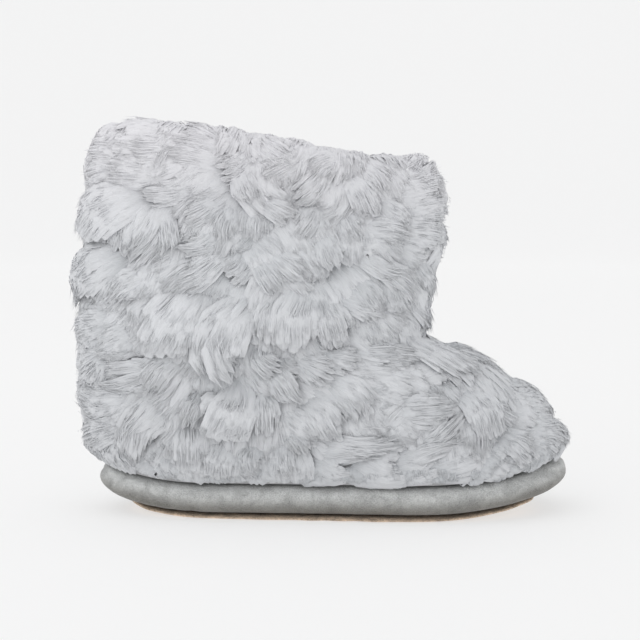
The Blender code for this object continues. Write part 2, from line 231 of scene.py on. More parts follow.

# The main locks of the outer side, in millimetres on the shoe seen from its outer
# side: x from the middle of the sole and z from the floor. Lift is a share of the fullest.
# root x, root z, tip x, tip z, width, lift
MAIN_LOCKS = (
    # The band under the rim, combed back to the heel
    (-51, 194, -82, 198, 14, 0.6),
    (-53, 185, -88, 188, 13, 0.7),
    (-75, 193, -107, 193, 14, 0.7),
    (-82, 182, -118, 180, 15, 0.8),
    (-103, 194, -131, 189, 16, 0.7),
    (-107, 183, -133, 174, 14, 0.9),
    (-67, 175, -98, 174, 13, 0.8),
    # The middle of that band
    (-43, 199, -27, 181, 15, 0.7),
    (-51, 185, -43, 165, 13, 0.9),
    (-11, 193, -37, 177, 14, 0.7),
    (6, 197, -7, 178, 14, 0.7),
    (1, 185, -23, 169, 13, 0.8),
    (14, 194, 21, 173, 14, 0.7),
    (6, 181, 19, 159, 13, 1.0),
    # The front of that band, combed forward
    (21, 189, 57, 186, 15, 0.6),
    (25, 177, 61, 180, 13, 0.8),
    (25, 169, 62, 169, 13, 0.9),
    (29, 159, 62, 156, 14, 0.9),
    (25, 154, 59, 143, 14, 1.0),
    (19, 169, 34, 146, 13, 0.9),
    # The second row
    (-95, 177, -130, 149, 24, 1.1),
    (-82, 170, -107, 133, 16, 0.9),
    (-89, 165, -88, 137, 12, 0.8),
    (-55, 169, -77, 159, 13, 0.8),
    (-51, 154, -82, 145, 15, 0.9),
    (-51, 143, -85, 127, 14, 1.0),
    (-42, 169, -19, 159, 13, 0.8),
    (-53, 165, -54, 145, 11, 0.8),
    (-7, 169, -19, 149, 14, 0.8),
    (1, 165, 14, 148, 14, 0.8),
    (-11, 153, -2, 129, 15, 1.0),
    (9, 153, 38, 145, 12, 1.0),
    # The third row
    (-107, 143, -136, 109, 22, 1.0),
    (-91, 133, -114, 105, 15, 0.9),
    (-59, 138, -88, 119, 13, 0.8),
    (-69, 129, -98, 87, 25, 1.1),
    (-74, 122, -81, 85, 17, 1.1),
    (-35, 145, -14, 127, 14, 0.9),
    (-43, 137, -27, 121, 12, 0.9),
    (6, 141, 38, 133, 12, 0.9),
    (17, 138, 43, 119, 14, 0.9),
    (-15, 127, -22, 89, 24, 1.0),
    (-29, 124, -33, 90, 17, 1.0),
    (9, 127, 21, 105, 13, 0.9),
    (-7, 121, 0, 89, 18, 1.0),
    (1, 117, 24, 101, 15, 0.9),
    (25, 129, 38, 106, 14, 0.9),
    (38, 129, 53, 97, 17, 0.9),
    (43, 137, 56, 116, 14, 0.8),
    # The fourth row
    (-43, 119, -63, 69, 24, 1.2),
    (-98, 98, -123, 82, 17, 0.9),
    (-111, 105, -138, 90, 15, 0.8),
    (-75, 87, -109, 79, 15, 0.9),
    (-79, 78, -122, 70, 14, 1.0),
    (-115, 85, -138, 74, 15, 0.9),
    (-38, 95, -34, 70, 12, 1.0),
    (-11, 87, 1, 65, 15, 0.8),
    (-23, 87, -14, 63, 13, 0.9),
    (9, 95, 26, 65, 16, 0.8),
    (21, 101, 37, 69, 15, 0.8),
    (38, 101, 56, 57, 21, 0.9),
    # The fifth row
    (-51, 74, -53, 39, 27, 1.2),
    (-69, 69, -69, 45, 12, 0.9),
    (-41, 69, -29, 46, 14, 1.1),
    (-37, 82, -24, 54, 12, 1.0),
    (-99, 63, -133, 52, 18, 0.8),
    (-101, 52, -134, 38, 16, 0.8),
    (-88, 65, -90, 25, 20, 0.9),
    (-77, 57, -70, 22, 17, 0.9),
    (-55, 42, -56, 18, 18, 0.8),
    (-43, 41, -34, 23, 13, 0.9),
    (-19, 65, 9, 45, 18, 0.9),
    (-7, 73, 21, 50, 18, 0.9),
    (-27, 50, -13, 33, 12, 0.8),
    (-27, 42, -18, 23, 12, 0.8),
    (-13, 41, 38, 43, 13, 1.0),
    (-11, 33, 29, 31, 12, 0.8),
    (29, 29, 69, 39, 12, 0.8),
    (38, 36, 69, 47, 12, 0.9),
    (25, 57, 62, 55, 15, 1.0),
    # The toe and the vamp
    (66, 65, 86, 39, 19, 0.8),
    (69, 57, 78, 30, 15, 0.8),
    (93, 57, 123, 47, 16, 0.8),
    (97, 45, 128, 36, 15, 0.8),
    (85, 45, 109, 31, 16, 0.8),
    (89, 69, 115, 58, 16, 0.8),
    (69, 85, 93, 73, 16, 0.8),
    (57, 93, 78, 81, 15, 0.9),
    (51, 89, 69, 65, 16, 0.8),
    # The heel over the sole
    (-131, 45, -126, 23, 15, 0.8),
    (-115, 39, -103, 26, 12, 0.7),
)


# Soft troughs in the wrap, on the outer side: where each starts and ends, in
# millimetres from the middle and as shares of the wrap's height, and its width and depth in
# millimetres. A depth below nothing is a ridge.
# from x, from height, to x, to height, width, depth
WRAP_FOLDS = (
    (-126, 0.80, -113, 0.42, 2.6, 0.9),
    (-119, 0.30, -108, 0.52, 2.2, -0.5),
    (-108, 0.42, -76, 0.20, 3.0, 1.1),
    (-98, 0.66, -70, 0.62, 3.4, -0.5),
    (-74, 0.26, -34, 0.18, 3.6, 0.6),
    (-52, 0.80, -30, 0.70, 2.4, 0.4),
    (-26, 0.20, 22, 0.22, 3.8, 0.6),
    (-12, 0.62, 6, 0.66, 3.2, -0.4),
    (14, 0.78, 34, 0.66, 2.6, 0.5),
    (26, 0.22, 58, 0.30, 3.4, 0.6),
    (44, 0.58, 84, 0.74, 2.8, 0.6),
    (62, 0.34, 92, 0.30, 3.2, 0.7),
    (88, 0.56, 112, 0.62, 3.0, -0.6),
    (98, 0.28, 118, 0.40, 2.8, 0.8),
    (112, 0.84, 124, 0.56, 2.2, 0.9),
)


def unit(vectors):
    return vectors / np.linalg.norm(vectors, axis=-1, keepdims=True)


def dot(a, b):
    return (a * b).sum(axis=-1)


def ease(share):
    """A smooth step from 0 to 1."""
    share = np.clip(share, 0, 1)
    return share * share * (3 - 2 * share)


def tangents_of(places, values):
    """The slope at each place of a curve through the values that doesn't overshoot."""
    gaps = np.diff(places).reshape(-1, *[1] * (values.ndim - 1))
    slopes = np.diff(values, axis=0) / gaps
    same_way = slopes[:-1] * slopes[1:] > 0
    sums = np.where(same_way, slopes[:-1] + slopes[1:], 1.0)
    inner = np.where(same_way, 2 * slopes[:-1] * slopes[1:] / sums, 0.0)
    return np.concatenate([slopes[:1], inner, slopes[-1:]])


def smooth_between(places, values, at):
    """The values at the places, joined by a cubic with no overshoot."""
    tangents = tangents_of(places, values)
    at = np.clip(at, places[0], places[-1])
    k = np.clip(np.searchsorted(places, at, side="right") - 1, 0, len(places) - 2)
    gap = places[k + 1] - places[k]
    s = (at - places[k]) / gap
    shape = (-1,) + (1,) * (values.ndim - 1)
    s, gap = s.reshape(shape), gap.reshape(shape)
    return (
        values[k] * (2 * s**3 - 3 * s**2 + 1)
        + gap * tangents[k] * (s**3 - 2 * s**2 + s)
        + values[k + 1] * (3 * s**2 - 2 * s**3)
        + gap * tangents[k + 1] * (s**3 - s**2)
    )


def distance_property(name, description, default):
    return FloatProperty(
        name=name, description=description, default=default, subtype="DISTANCE", unit="LENGTH"
    )


def colour_property(name, description, default):
    return FloatVectorProperty(
        name=name, description=description, default=default, subtype="COLOR"
    )


class SlipperSizes(bpy.types.PropertyGroup):
    """The sizes of the slipper's upper."""

    sole_length: distance_property(
        "Sole length",
        "From the heel's end to the toe's end of the sole",
        MIDSOLE_HIGH.x - MIDSOLE_LOW.x,
    )
    ball_width: distance_property(
        "Ball width", "The sole's width at the ball of the foot", MIDSOLE_HIGH.y - MIDSOLE_LOW.y
    )
    sole_top: distance_property("Sole top", "The height of the platform's top at the arch", 0.0199)
    instep_height: distance_property(
        "Instep height", "From the floor to the throat, where the shaft meets the vamp", 0.092
    )
    collar_height: distance_property(
        "Collar height", "From the floor to the cloth's rim at the back", 0.203
    )
    collar_dip: distance_property("Collar dip", "How much lower the rim is at the front", 0.020)
    collar_crown: distance_property(
        "Collar crown", "How far the rim's side humps up behind its middle", 0.005
    )
    shaft_depth: distance_property(
        "Shaft depth", "The shaft from back to front, under the fur", 0.168
    )
    shaft_width: distance_property(
        "Shaft width", "The shaft from side to side, under the fur", 0.090
    )
    heel_swell: distance_property("Heel swell", "How far the heel bulges behind the sole", 0.006)
    cloth_wall: distance_property("Cloth wall", "The thickness of the cloth and its lining", 0.003)
    pelt_depth: distance_property("Pelt depth", "The packed pile at the roots of the fur", 0.0032)
    row_fullness: distance_property(
        "Row fullness", "How far each row of fur swells between its seams", 0.0026
    )
    facing_depth: distance_property(
        "Facing depth", "How far the fur goes down inside the collar", 0.042
    )
    toe_spring: distance_property("Toe spring", "How far the sole lifts at the toe", 0.012)
    heel_rise: distance_property("Heel rise", "How far the sole lifts at the heel", 0.0085)


class SlipperFur(bpy.types.PropertyGroup):
    """The fur's locks and strands."""

    lock_lift: distance_property(
        "Lock lift", "How high a full lock stands over the packed pile", 0.0088
    )
    filler_spacing: distance_property(
        "Filler spacing",
        "The distance between the small locks that fill between the main ones",
        0.0215,
    )
    strand_width: distance_property(
        "Strand width", "The width of one strand at its thickest", 0.00066
    )
    seed: IntProperty(name="Seed", description="Draws another arrangement", default=7)


class SlipperColours(bpy.types.PropertyGroup):
    """The finishes' base colours."""

    fur_tip: colour_property(
        "Fur", "The fur's colour at the tips of its locks", (0.765, 0.777, 0.802)
    )
    collar_blush: colour_property(
        "Collar blush", "The faintly warmer fur at the collar", (0.87, 0.855, 0.885)
    )
    # Painted shade: the fur is drawn darker towards its roots, deep between its locks
    fur_root_shade: colour_property(
        "Fur roots", "The fur's colour deep between its locks", (0.60, 0.62, 0.645)
    )
    # The backing's darker grey is partly its own colour and partly painted shade for the deepest
    # partings
    backing: colour_property(
        "Fur backing",
        "The knitted backing that shows in the deepest partings",
        (0.44, 0.43, 0.425),
    )
    # Painted shade: the wrap's lower part, which curves in under it, is drawn darker
    suede_shade_low: colour_property(
        "Suede low down",
        "The wrap's colour near the floor, where it is rubbed",
        (0.205, 0.198, 0.182),
    )
    suede: colour_property(
        "Suede wrap", "The napped cloth round the platform", (0.57, 0.578, 0.572)
    )
    # Painted shadow: the wrap's top edge is drawn dark in the seam under the fur's overhang
    seam: colour_property(
        "Seam shade", "The wrap's colour in the seam under the fur", (0.17, 0.17, 0.165)
    )
    tread: colour_property("Tread", "The tan underside", (0.56, 0.44, 0.335))
    lining: colour_property("Lining", "The dark green lining of the shaft", (0.008, 0.060, 0.042))
    footbed: colour_property("Footbed", "The fleece under the foot", (0.40, 0.41, 0.42))


def spring(sizes, x):
    """How far the sole's underside lifts off the floor at x."""
    flat_from, flat_to = -0.072, 0.050
    toe_x = sizes.sole_length / 2
    toe = np.clip((x - flat_to) / (toe_x - flat_to), 0, 1.2)
    heel = np.clip((flat_from - x) / (flat_from + toe_x), 0, 1.2)
    return sizes.toe_spring * toe**2 + sizes.heel_rise * heel**2


def ring_in_plan(sizes, back_x, front_x, foot, full, inset):
    """A closed ring, evenly spaced from the heel round the outer side and back."""
    table = np.array(FOOT_OUTLINE)
    turn = np.linspace(0, math.pi, 361)
    share = (1 - np.cos(turn)) / 2
    x = back_x + (front_x - back_x) * share
    halves = []
    for side, column in ((-1, 1), (1, 2)):
        foot_half = sizes.ball_width / 2 * smooth_between(table[:, 0], table[:, column], share)
        foot_half = foot_half * np.sin(turn) ** END_ROUND_FOOT
        shaft_half = sizes.shaft_width / 2 * np.sin(turn) ** END_ROUND_SHAFT
        half = full * (foot * foot_half + (1 - foot) * shaft_half)
        y = side * half * (half.max() - inset) / half.max()
        along = np.concatenate([[0], np.cumsum(np.hypot(np.diff(x), np.diff(y)))])
        wanted = np.linspace(0, along[-1], COLUMNS // 2 + 1)
        halves.append((np.interp(wanted, along, x), np.interp(wanted, along, y)))
    (outer_x, outer_y), (inner_x, inner_y) = halves
    ring_x = np.concatenate([outer_x, inner_x[-2:0:-1]])
    ring_y = np.concatenate([outer_y, inner_y[-2:0:-1]])
    return ring_x, ring_y


def cloth_rings(sizes):
    """The upper's cloth at each seam between two rows of fur."""
    inset = 0.0035
    heel_x = -sizes.sole_length / 2 + inset
    toe_x = sizes.sole_length / 2 - inset
    shaft_front_x = heel_x + sizes.shaft_depth
    rings = []
    for back_level, front_level, reach, swell, foot, full in UPPER_RINGS:
        back_x = heel_x - swell * sizes.heel_swell
        front_x = shaft_front_x + reach * (toe_x - shaft_front_x)
        x, y = ring_in_plan(sizes, back_x, front_x, foot, full, inset * foot)
        heights = (sizes.sole_top, sizes.instep_height)
        low = np.interp(back_level, (0, 1, 2), (*heights, sizes.collar_height))
        rim_front = sizes.collar_height - sizes.collar_dip
        high = np.interp(front_level, (0, 1, 2), (*heights, rim_front))
        share = (x - back_x) / (front_x - back_x)
        z = low + (high - low) * share
        z += spring(sizes, x) * max(0.0, 1 - front_level)
        z += sizes.collar_crown * 6.75 * share * (1 - share) ** 2 * max(0.0, back_level - 1)
        rings.append(np.stack([x, y, z], axis=1))
    return np.array(rings)


class Skin:
    """The pelt's surface in rows: an apron below the sole's seam, the outside from the
    seam up, the rim, and the facing down inside. A place on it is a row and a column."""

    def __init__(self, sizes):
        self.sizes = sizes
        self.rings = cloth_rings(sizes)
        self.seams = np.arange(TOP_SEAM + 1.0)
        outside = [self.outside(seam) for seam in self.outer_seams()]
        rows = self.apron(outside[0]) + outside + self.rim() + self.facing()
        self.first_row = APRON_RINGS
        self.rim_row = APRON_RINGS + len(outside) - 1
        self.facing_row = self.rim_row + RIM_RINGS
        self.points = np.array(rows)
        self.along = np.gradient(self.points, axis=0)
        self.around = (np.roll(self.points, -1, 1) - np.roll(self.points, 1, 1)) / 2
        self.normals = unit(np.cross(self.around, self.along))

    def outer_seams(self):
        return np.linspace(0, TOP_SEAM, TOP_SEAM * RINGS_PER_SEAM + 1)

    def cloth(self, seam):
        return smooth_between(self.seams, self.rings, np.array([float(seam)]))[0]

    def outward(self, seam):
        step = 0.04
        up = self.cloth(min(seam + step, TOP_SEAM)) - self.cloth(max(seam - step, 0))
        middle = self.cloth(seam)
        around = np.roll(middle, -1, axis=0) - np.roll(middle, 1, axis=0)
        return unit(np.cross(around, up))

    def outside(self, seam):
        """The pelt over the cloth, fullest low in each row and drawn in at each seam."""
        depth = self.sizes.pelt_depth * (0.25 + 0.75 * float(ease(seam / 0.6)))
        down = 1 - seam % 1
        full = self.sizes.row_fullness * math.sin(math.pi * down**1.4)
        return self.cloth(seam) + self.outward(seam) * (depth + full)

    def apron(self, lowest):
        """Rows that hang down over the sole, for the fur that hangs over it."""
        level = unit(self.outward(0.3) * (1, 1, 0))
        rows = []
        for share in np.linspace(1, 0, APRON_RINGS, endpoint=False):
            bulge = APRON_BULGE * math.sin(share * math.pi / 2)
            rows.append(lowest + level * bulge - np.array([0, 0, APRON_DROP * share]))
        return rows

    def rim(self):
        level = unit(self.outward(TOP_SEAM) * (1, 1, 0))
        wall, depth = self.sizes.cloth_wall, self.sizes.pelt_depth
        middle = self.cloth(TOP_SEAM) - level * wall / 2
        rows = []
        for angle in np.linspace(0, math.pi, RIM_RINGS + 1)[1:]:
            reach = (wall / 2 + depth) * math.cos(angle)
            rise = (wall / 2 + depth) * math.sin(angle)
            rows.append(middle + level * reach + np.array([0, 0, rise]))
        return rows

    def facing(self):
        height = np.linalg.norm(self.cloth(TOP_SEAM) - self.cloth(TOP_SEAM - 1), axis=1).mean()
        inset = self.sizes.cloth_wall + self.sizes.pelt_depth
        rows = []
        for share in np.linspace(0, 1, FACING_RINGS + 1)[1:]:
            seam = TOP_SEAM - share * self.sizes.facing_depth / height
            rows.append(self.cloth(seam) - self.outward(seam) * inset)
        return rows

    def at(self, field, row, column):
        """A field's values between the rows and columns."""
        row = np.clip(row, 0, len(self.points) - 1.001)
        column = np.mod(column, COLUMNS)
        low, left = row.astype(int), np.minimum(column.astype(int), COLUMNS - 1)
        right = (left + 1) % COLUMNS
        up = (row - low)[..., None]
        over = (column - left)[..., None]
        bottom = field[low, left] * (1 - over) + field[low, right] * over
        top = field[low + 1, left] * (1 - over) + field[low + 1, right] * over
        return bottom * (1 - up) + top * up

    def move(self, row, column, heading):
        """The rows and columns that a metre takes. Heading 0 is down and 90 degrees
        is towards the higher columns, which is forward on the outer side."""
        along = self.at(self.along, row, column)
        around = self.at(self.around, row, column)
        down = -unit(along)
        side = unit(around - down * dot(around, down)[..., None])
        way = down * np.cos(heading)[..., None] + side * np.sin(heading)[..., None]
        aa, bb, ab = dot(along, along), dot(around, around), dot(along, around)
        pa, pb = dot(way, along), dot(way, around)
        spread = aa * bb - ab * ab
        return (pa * bb - pb * ab) / spread, (pb * aa - pa * ab) / spread

    def heading_of(self, row, column, way):
        """The heading of a direction in space."""
        along = self.at(self.along, row, column)
        around = self.at(self.around, row, column)
        down = -unit(along)
        side = unit(around - down * dot(around, down)[..., None])
        return np.arctan2(dot(way, side), dot(way, down))

    def nearest_outer(self, x, z):
        """The row and column of the outer side's point that is seen at x and z."""
        half = COLUMNS // 2
        rows = slice(self.first_row, self.rim_row + 4)
        block = self.points[rows, : half + 1]
        apart = (block[..., 0] - x) ** 2 + (block[..., 2] - z) ** 2
        row, column = np.unravel_index(np.argmin(apart), apart.shape)
        return row + self.first_row, column


def walk(skin, locks):
    """The spines of the locks: their rows, columns and headings, from root to tip."""
    row, column, heading = locks["row"], locks["column"], locks["heading"]
    rows, columns, headings = [row], [column], [heading]
    for k in range(SPINE_STEPS):
        row_step, column_step = skin.move(row, column, heading)
        row = row + row_step * locks["length"] / SPINE_STEPS
        column = column + column_step * locks["length"] / SPINE_STEPS
        sway = locks["sway"] * math.cos(2 * math.pi * k / SPINE_STEPS)
        heading = heading + (locks["turn"] + sway) / SPINE_STEPS
        rows.append(row)
        columns.append(column)
        headings.append(heading)
    return np.stack(rows, 1), np.stack(columns, 1), np.stack(headings, 1)


def along_spine(values, lock, place):
    """A spine's values for each strand at places from 0 to 1."""
    place = np.clip(place, 0, 1) * (SPINE_STEPS - 0.001)
    k = place.astype(int)
    share = place - k
    owner = lock[:, None]
    return values[owner, k] * (1 - share) + values[owner, k + 1] * share


def tufts_of(locks, fingers, draws):
    """Divides each lock into tufts, each with its own place, reach, lift and drift."""
    count = len(locks["row"])
    spacing = 2 / fingers
    lock = np.repeat(np.arange(count), fingers)
    v = (np.tile(np.arange(fingers), count) + 0.5) * spacing - 1
    v = v + draws.uniform(-0.28, 0.28, lock.size) * spacing
    return {
        "lock": lock,
        "v": v,
        "spacing": np.full(lock.size, spacing),
        "reach": 1 - 0.30 * v**2 - locks["ragged"][lock] * draws.uniform(0, 1, lock.size) ** 1.5,
        "start": draws.uniform(0.0, 0.14, lock.size),
        "raise": draws.uniform(-0.0005, 0.0006, lock.size),
        "drift": draws.normal(0, 0.45, lock.size) * spacing,
        "tone": 0.5 * draws.uniform(0, 1, count)[lock] + 0.5 * draws.uniform(0, 1, lock.size),
    }


def kept_above_hem(skin, row, column, heading, width):
    """The rows, stopped at a hem that waves softly round the sole."""
    wave = np.sin(column * 0.31 + 1.0) + 0.7 * np.sin(column * 0.83)
    level = np.abs(np.sin(heading)) * width / LEVEL_WIDTH
    hem = skin.first_row + HEM_ROW + HEM_WAVE * wave + level
    past = np.maximum(hem - row, 0)
    return np.where(past > 0, hem - HEM_SLACK * (1 - np.exp(-past / HEM_SOFTNESS)), row)


def lay(skin, locks, spines, lock, place, v, above):
    """Points over the locks: place runs from root to tip, v from side to side."""
    row, column, heading = [along_spine(values, lock, place) for values in spines]
    width, lift, root, fan, fall = [
        locks[key][lock][:, None] for key in ("width", "lift", "root", "fan", "fall")
    ]
    widen = 1 - fan + fan * ease(place / 0.7)
    across = v * widen * width / 2
    rise = ease(place / 0.5) * (1 - fall * ease((place - 0.6) / 0.5))
    height = root + lift * rise
    height = height * (1 - 0.32 * np.clip(v, -1.3, 1.3) ** 2) + above
    row_step, column_step = skin.move(row, column, heading + math.pi / 2)
    column = column + column_step * across
    row = kept_above_hem(skin, row + row_step * across, column, heading, width)
    normals = unit(skin.at(skin.normals, row, column))
    tucked = ease((row - skin.first_row + 1.0) / 6.0)
    height = np.maximum(height * (0.30 + 0.70 * tucked), 0.0002)
    return skin.at(skin.points, row, column) + normals * height[..., None], normals


def frames_along(centres, normals):
    ways = unit(np.gradient(centres, axis=1))
    sides = unit(np.cross(ways, normals))
    return sides, np.cross(sides, ways)


def tuft_bodies(skin, locks, spines, tufts, draws):
    """The soft closed body of each tuft, which the loose strands lie on."""
    lock, number = tufts["lock"], len(tufts["lock"])
    span = (tufts["reach"] - tufts["start"])[:, None]
    place = tufts["start"][:, None] + span * TUFT_STATIONS
    v = tufts["v"][:, None] + tufts["drift"][:, None] * place**2
    at_tip = place > 0.98 * tufts["reach"][:, None]
    above = tufts["raise"][:, None] * place - TIP_DIP * at_tip
    centres, normals = lay(skin, locks, spines, lock, place, v, above)
    sides, ups = frames_along(centres, normals)
    half = locks["width"][lock] / 2 * tufts["spacing"] / 2 * TUFT_OVERLAP
    half = half[:, None] * TUFT_WIDTHS * draws.uniform(0.9, 1.12, (number, 1))
    thick = half * locks["plump"][lock][:, None]
    ring, across = [], []
    for angle, sideways, upwards in TUFT_SECTION:
        turn = math.radians(angle)
        beside = half[..., None] * math.cos(turn) * sideways * sides[:, :-1]
        over = thick[..., None] * math.sin(turn) * upwards * ups[:, :-1]
        ring.append(centres[:, :-1] + beside + over)
        across.append(half * math.cos(turn) * 1000)
    rings = np.stack(ring, axis=2)
    across = np.stack(across, axis=2)
    length = locks["length"][lock][:, None] * place
    return rings, centres[:, -1], ups, across, length, tufts["tone"]


def loose_strands(skin, locks, spines, tufts, strands, kind, width, draws):
    """Thin strands that rise out of the tufts, lie on them and leave them at their tips."""
    stations, earliest, latest = kind
    tuft = np.repeat(np.arange(len(tufts["lock"])), strands)
    lock, number = tufts["lock"][tuft], tuft.size
    start = tufts["start"][tuft] + draws.uniform(earliest, latest, number)
    reach = tufts["reach"][tuft] * draws.uniform(0.86, 1.09, number)
    place = start[:, None] + (reach - start)[:, None] * np.array(stations)
    beside = draws.uniform(-1, 1, number)
    gather = 1 - 0.45 * np.clip(place, 0, 1.2) ** 3
    own = tufts["v"][tuft][:, None] + tufts["drift"][tuft][:, None] * place**2
    half = tufts["spacing"][tuft][:, None] / 2
    wander = draws.normal(0, 0.42, number)[:, None] * place**2 * half
    v = own + beside[:, None] * half * 1.15 * gather + wander
    crown = STRAND_CROWN * np.sqrt(1 - 0.85 * beside**2)[:, None]
    strays = draws.uniform(0, 1, number) < STRAY_SHARE
    stray = strays * draws.uniform(0.0008, 0.0026, number)
    loose = (draws.uniform(-0.0003, 0.0012, number) + stray)[:, None] * place**2
    sunk = 0.0006 * (1 - np.array(stations)) ** 2
    above = tufts["raise"][tuft][:, None] * place + crown * (1 - 0.3 * place) + loose - sunk
    centres, normals = lay(skin, locks, spines, lock, place, v, above)
    sides, ups = frames_along(centres, normals)
    shares = np.linspace(0.1, 0.75, len(stations) - 1)
    half = width / 2 * (0.7 + 0.3 * np.sin(np.pi * shares))[None, :, None]
    half = half * draws.uniform(0.7, 1.2, (number, 1, 1))
    twist = draws.uniform(0, 2 * math.pi, (number, 1, 1))
    ring = []
    for k in range(3):
        angle = twist + k * 2 * math.pi / 3
        across = np.cos(angle) * sides[:, :-1] + np.sin(angle) * ups[:, :-1]
        ring.append(centres[:, :-1] + half * across)
    rings = np.stack(ring, axis=2)
    across = np.broadcast_to(beside[:, None, None] * 2.0, rings.shape[:3])
    length = locks["length"][lock][:, None] * place
    tone = 0.6 * tufts["tone"][tuft] + 0.4 * draws.uniform(0, 1, number)
    return rings, centres[:, -1], ups, across, length, tone


def soften(mesh, ups, corners, share):
    """Turns the shading of each tube's upper side towards its lock's, as fine hairs shade."""
    lock = np.concatenate([np.repeat(ups[:, :-1], corners, axis=1), ups[:, -1:]], axis=1)
    lock = lock.reshape(-1, 3)
    own = read_normals(mesh)
    share = share * ease((dot(own, lock) + 0.8) / 0.7)[:, None]
    normals = unit(own * (1 - share) + lock * share)
    mesh.normals_split_custom_set_from_vertices(normals.tolist())


def weave(name, rings, tips, ups, across, length, tone, draws):
    """One mesh of closed tapered tubes, each from its rings of points and its tip."""
    number, steps, corners = rings.shape[:3]
    each = steps * corners + 1
    points = np.concatenate([rings.reshape(number, -1, 3), tips[:, None]], axis=1)
    first = np.arange(number)[:, None, None] * each
    quads = []
    for k in range(steps - 1):
        for i in range(corners):
            j = (i + 1) % corners
            low, high = corners * k, corners * (k + 1)
            quads.append((low + j, low + i, high + i, high + j))
    last = corners * (steps - 1)
    ends = [(last + (i + 1) % corners, last + i, each - 1) for i in range(corners)]
    roots = [tuple(range(corners))]
    kinds = [kind for kind in (quads, ends, roots) if kind]
    faces = [(first + np.array(kind)).reshape(-1, len(kind[0])) for kind in kinds]
    mesh = mesh_of(name, points.reshape(-1, 3), faces)
    soften(mesh, ups, corners, SHADED_AS_LOCK)
    run = np.concatenate([np.repeat(length[:, :-1], corners, axis=1), length[:, -1:]], axis=1)
    side = np.concatenate([across.reshape(number, -1), np.zeros((number, 1))], axis=1)
    lot = np.broadcast_to(draws.uniform(0, 60, (number, 1)), run.shape)
    flow = np.stack([side * 1.5, run * 110.0, lot], axis=-1)
    layer = mesh.attributes.new("flow", "FLOAT_VECTOR", "POINT")
    layer.data.foreach_set("vector", flow.astype(np.float32).reshape(-1))
    tones = np.stack([run * 1000 / 25, np.broadcast_to(tone[:, None], run.shape)], axis=-1)
    for k, label in enumerate(("along", "tone")):
        layer = mesh.attributes.new(label, "FLOAT", "POINT")
        layer.data.foreach_set("value", tones[..., k].astype(np.float32).reshape(-1))
    return link(name, mesh)


def mesh_of(name, points, faces):
    """A smooth mesh from an array of points and arrays of faces of one kind each."""
    mesh = bpy.data.meshes.new(name)
    corners = np.concatenate([kind.reshape(-1) for kind in faces])
    sides = np.concatenate([np.full(len(kind), kind.shape[1]) for kind in faces])
    mesh.vertices.add(len(points))
    mesh.vertices.foreach_set("co", points.astype(np.float32).reshape(-1))
    mesh.loops.add(len(corners))
    mesh.loops.foreach_set("vertex_index", corners.astype(np.int32))
    mesh.polygons.add(len(sides))
    starts = np.concatenate([[0], np.cumsum(sides)[:-1]])
    mesh.polygons.foreach_set("loop_start", starts.astype(np.int32))
    mesh.update(calc_edges=True)
    mesh.validate()
    mesh.shade_smooth()
    return mesh


def link(name, mesh):
    piece = bpy.data.objects.new(name, mesh)
    bpy.context.scene.collection.objects.link(piece)
    return piece


def loft(name, rows):
    """A closed mesh through rows of as many points each, whose last row joins its first."""
    count, columns = rows.shape[:2]
    index = np.arange(count * columns).reshape(count, columns)
    above = np.roll(index, -1, axis=0)
    quads = np.stack([index, np.roll(index, -1, 1), np.roll(above, -1, 1), above], axis=-1)
    return link(name, mesh_of(name, rows.reshape(-1, 3), [quads.reshape(-1, 4)]))


def keep_off_the_sole(skin, locks):
    """Shortens the locks that would hang over the sole, more at the toe than at the heel."""
    root_x = skin.at(skin.points, locks["row"], locks["column"])[:, 0]
    forward = ease((root_x + 0.03) / 0.06)
    limit = skin.first_row - 0.3 + 1.4 * forward
    rows, _, _ = walk(skin, locks)
    drop = np.maximum(locks["row"] - rows[:, -1], 0.001)
    share = np.clip((locks["row"] - limit) / drop, 0.35, 1.0)
    locks["length"] = locks["length"] * share


def main_locks(skin, fur, mirrored, draws):
    """The listed locks, on the outer side or mirrored to the inner side."""
    table = np.array(MAIN_LOCKS, float)
    table[:, :5] /= 1000
    count = len(table)
    table[:, :4] += np.tile(OUTER_SHIFT, 2)
    if mirrored:
        table[:, :4] += np.tile(draws.normal(0, LOCK_SPREAD, (count, 2)), 2)
        table[:, :4] += np.tile(INNER_SHIFT, 2)
        table[:, 2:4] += draws.normal(0, TIP_SPREAD, (count, 2))
        table[:, 5] += draws.uniform(-0.1, 0.1, count)
    roots = np.array([skin.nearest_outer(x, z) for x, z in table[:, 0:2]], float)
    tips = np.array([skin.nearest_outer(x, z) for x, z in table[:, 2:4]], float)
    if mirrored:
        roots[:, 1] = -roots[:, 1]
        tips[:, 1] = -tips[:, 1]
    start = skin.at(skin.points, roots[:, 0], roots[:, 1])
    finish = skin.at(skin.points, tips[:, 0], tips[:, 1])
    chord = finish - start
    flat = np.hypot(table[:, 2] - table[:, 0], table[:, 3] - table[:, 1])
    length = np.clip(np.linalg.norm(chord, axis=1), flat, flat * 1.25)
    wide = table[:, 4] > WIDE_LOCK
    turn = draws.normal(0, 0.22, count)
    heading = skin.heading_of(roots[:, 0], roots[:, 1], chord)
    return {
        "row": roots[:, 0],
        "column": roots[:, 1],
        "heading": heading - turn / 2,
        "turn": turn,
        "length": length * 1.06,
        "width": table[:, 4] * 1.12,
        "lift": table[:, 5] * fur.lock_lift * np.where(wide, 1.0, 0.8),
        "root": np.full(count, 0.0012),
        "fall": np.full(count, 0.25),
        "fan": draws.uniform(0.30, 0.50, count),
        "plump": np.full(count, 0.40),
        "ragged": np.where(wide, 0.12, 0.24),
        "sway": draws.normal(0, 1.2, count),
    }


